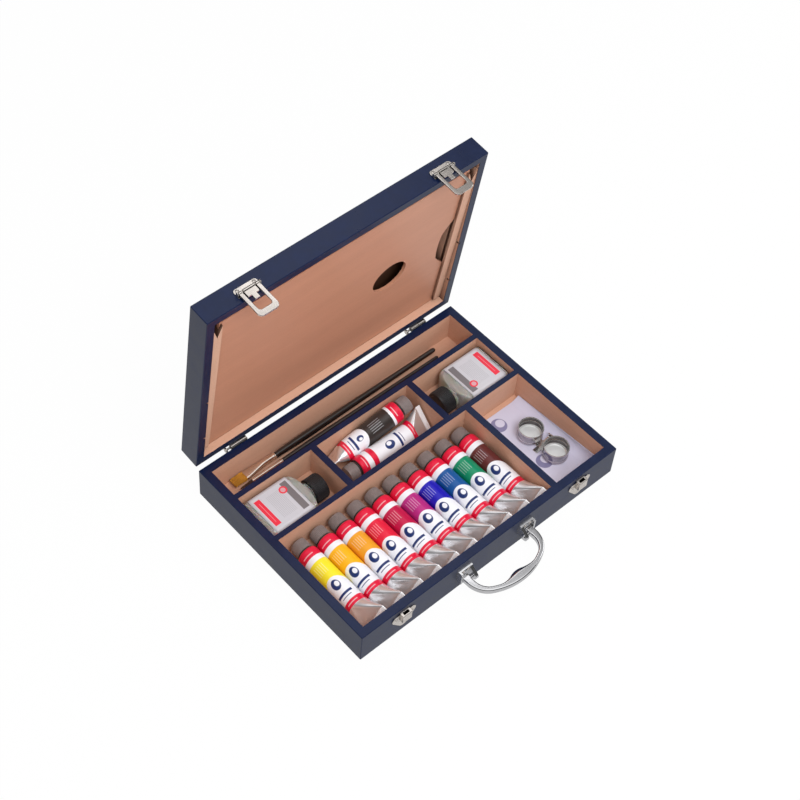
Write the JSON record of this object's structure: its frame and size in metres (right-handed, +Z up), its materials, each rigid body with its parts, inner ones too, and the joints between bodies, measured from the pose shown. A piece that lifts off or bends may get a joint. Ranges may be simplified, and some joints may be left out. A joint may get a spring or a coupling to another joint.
{
  "type": "wooden acrylic paint box",
  "caption": "Hinged wooden paint box with divided bays, latches, carrying handle, palette held in the lid, paint tubes, bottles, brushes and a double dipper.",
  "frame": {"origin": "middle of the base's underside", "axes": "+X to the right along the width, +Y from the front to the hinged back, +Z up"},
  "size_m": [0.39, 0.3612, 0.3324],
  "materials": {
    "painted_wood": "satin",
    "bare_wood": "matte",
    "nickel": "satin",
    "chrome": "polished",
    "black_plastic": "matte",
    "bottle_glass": "clear",
    "black_lacquer": "gloss",
    "ferrule_metal": "satin",
    "bristle": "matte",
    "brown_bristle": "matte",
    "paper": "matte",
    "tube_lemon_yellow": "gloss",
    "tube_golden_yellow": "gloss",
    "tube_ochre": "gloss",
    "tube_red": "gloss",
    "tube_carmine": "gloss",
    "tube_magenta": "gloss",
    "tube_ultramarine": "gloss",
    "tube_blue": "gloss",
    "tube_green": "gloss",
    "tube_umber": "gloss",
    "tube_white": "gloss",
    "tube_black": "gloss"
  },
  "bodies": {
    "base": {"base_front_wall": "painted_wood", "base_back_wall": "painted_wood", "base_left_wall": "painted_wood", "base_right_wall": "painted_wood", "base_floor": "bare_wood", "rear_divider": "bare_wood", "middle_divider": "bare_wood", "divider_left": "bare_wood", "divider_right": "bare_wood", "divider_front": "bare_wood", "catch_plates": "nickel", "handle_bracket_left": "chrome", "handle_bracket_right": "chrome", "handle_pins": "chrome", "hinge_base_leaves": "nickel", "hinge_pins": "nickel", "base_screws": "nickel"},
    "lid": {"lid_front_wall": "painted_wood", "lid_back_wall": "painted_wood", "lid_left_wall": "painted_wood", "lid_right_wall": "painted_wood", "lid_panel": "painted_wood", "lath_left": "bare_wood", "lath_right": "bare_wood", "hinge_lid_leaves": "nickel", "latch_plates": "nickel", "latch_pins": "nickel", "lid_screws": "nickel"},
    "palette": {"palette": "bare_wood"},
    "handle": {"handle_bail": "chrome"},
    "latch_left": {"latch_lever_left": "nickel"},
    "latch_right": {"latch_lever_right": "nickel"},
    "hook_left": {"latch_hook_left": "nickel"},
    "hook_right": {"latch_hook_right": "nickel"},
    "tube_01": {"tube_01": "tube_lemon_yellow"},
    "tube_02": {"tube_02": "tube_golden_yellow"},
    "tube_03": {"tube_03": "tube_ochre"},
    "tube_04": {"tube_04": "tube_red"},
    "tube_05": {"tube_05": "tube_carmine"},
    "tube_06": {"tube_06": "tube_magenta"},
    "tube_07": {"tube_07": "tube_ultramarine"},
    "tube_08": {"tube_08": "tube_blue"},
    "tube_09": {"tube_09": "tube_green"},
    "tube_10": {"tube_10": "tube_umber"},
    "tube_white": {"tube_white": "tube_white"},
    "tube_black": {"tube_black": "tube_black"},
    "bottle_left": {"bottle_left": "bottle_glass"},
    "bottle_left_cap": {"bottle_left_cap": "black_plastic"},
    "bottle_right": {"bottle_right": "bottle_glass"},
    "bottle_right_cap": {"bottle_right_cap": "black_plastic"},
    "flat_brush": {"flat_brush_bristles": "bristle", "flat_brush_ferrule": "ferrule_metal", "flat_brush_handle": "black_lacquer"},
    "round_brush": {"round_brush_bristles": "brown_bristle", "round_brush_ferrule": "ferrule_metal", "round_brush_handle": "black_lacquer"},
    "leaflet": {"leaflet": "paper"},
    "dipper": {"dipper_cups": "chrome", "dipper_clip": "chrome"}
  },
  "joints": [
    {"name": "lid_hinge", "type": "hinge", "parent": "base", "child": "lid", "pos_m": [0, 0.1433, 0.044], "axis": [-1, 0, 0], "range_deg": [-83.5, 16.5]},
    {"name": "handle_swing", "type": "hinge", "parent": "base", "child": "handle", "pos_m": [0, -0.15, 0.025], "axis": [-1, 0, 0], "range_deg": [0, 85]},
    {"name": "palette_slide", "type": "slide", "parent": "lid", "child": "palette", "axis": [0, -0.1371, 0.9906], "range_m": [0, 0.009]},
    {"name": "latch_left_swing", "type": "hinge", "parent": "lid", "child": "latch_left", "pos_m": [-0.135, 0.12106, 0.33022], "axis": [-1, 0, 0], "range_deg": [0, 110]},
    {"name": "hook_left_spring", "type": "hinge", "parent": "latch_left", "child": "hook_left", "pos_m": [-0.135, 0.12106, 0.33022], "axis": [-1, 0, 0], "range_deg": [0, 20], "stiffness_Nm_per_rad": 0.02},
    {"name": "latch_right_swing", "type": "hinge", "parent": "lid", "child": "latch_right", "pos_m": [0.135, 0.12106, 0.33022], "axis": [-1, 0, 0], "range_deg": [0, 110]},
    {"name": "hook_right_spring", "type": "hinge", "parent": "latch_right", "child": "hook_right", "pos_m": [0.135, 0.12106, 0.33022], "axis": [-1, 0, 0], "range_deg": [0, 20], "stiffness_Nm_per_rad": 0.02},
    {"name": "tube_01_lift", "type": "slide", "parent": "base", "child": "tube_01", "axis": [0, 0, 1], "range_m": [0, 0.06]},
    {"name": "tube_02_lift", "type": "slide", "parent": "base", "child": "tube_02", "axis": [0, 0, 1], "range_m": [0, 0.06]},
    {"name": "tube_03_lift", "type": "slide", "parent": "base", "child": "tube_03", "axis": [0, 0, 1], "range_m": [0, 0.06]},
    {"name": "tube_04_lift", "type": "slide", "parent": "base", "child": "tube_04", "axis": [0, 0, 1], "range_m": [0, 0.06]},
    {"name": "tube_05_lift", "type": "slide", "parent": "base", "child": "tube_05", "axis": [0, 0, 1], "range_m": [0, 0.06]},
    {"name": "tube_06_lift", "type": "slide", "parent": "base", "child": "tube_06", "axis": [0, 0, 1], "range_m": [0, 0.06]},
    {"name": "tube_07_lift", "type": "slide", "parent": "base", "child": "tube_07", "axis": [0, 0, 1], "range_m": [0, 0.06]},
    {"name": "tube_08_lift", "type": "slide", "parent": "base", "child": "tube_08", "axis": [0, 0, 1], "range_m": [0, 0.06]},
    {"name": "tube_09_lift", "type": "slide", "parent": "base", "child": "tube_09", "axis": [0, 0, 1], "range_m": [0, 0.06]},
    {"name": "tube_10_lift", "type": "slide", "parent": "base", "child": "tube_10", "axis": [0, 0, 1], "range_m": [0, 0.06]},
    {"name": "tube_white_lift", "type": "slide", "parent": "base", "child": "tube_white", "axis": [0, 0, 1], "range_m": [0, 0.06]},
    {"name": "tube_black_lift", "type": "slide", "parent": "tube_white", "child": "tube_black", "axis": [0, 0, 1], "range_m": [0, 0.06]},
    {"name": "bottle_left_lift", "type": "slide", "parent": "base", "child": "bottle_left", "axis": [0, 0, 1], "range_m": [0, 0.06]},
    {"name": "bottle_left_cap_turn", "type": "hinge", "parent": "bottle_left", "child": "bottle_left_cap", "pos_m": [-0.1, 0.05015, 0.02105], "axis": [1, 0, 0], "continuous": true},
    {"name": "bottle_right_lift", "type": "slide", "parent": "base", "child": "bottle_right", "axis": [0, 0, 1], "range_m": [0, 0.06]},
    {"name": "bottle_right_cap_turn", "type": "hinge", "parent": "bottle_right", "child": "bottle_right_cap", "pos_m": [0.1, 0.05015, 0.02105], "axis": [-1, 0, 0], "continuous": true},
    {"name": "flat_brush_lift", "type": "slide", "parent": "base", "child": "flat_brush", "axis": [0, 0, 1], "range_m": [0, 0.06]},
    {"name": "round_brush_lift", "type": "slide", "parent": "base", "child": "round_brush", "axis": [0, 0, 1], "range_m": [0, 0.06]},
    {"name": "leaflet_lift", "type": "slide", "parent": "base", "child": "leaflet", "axis": [0, 0, 1], "range_m": [0, 0.06]},
    {"name": "dipper_lift", "type": "slide", "parent": "leaflet", "child": "dipper", "axis": [0, 0, 1], "range_m": [0, 0.06]}
  ]
}
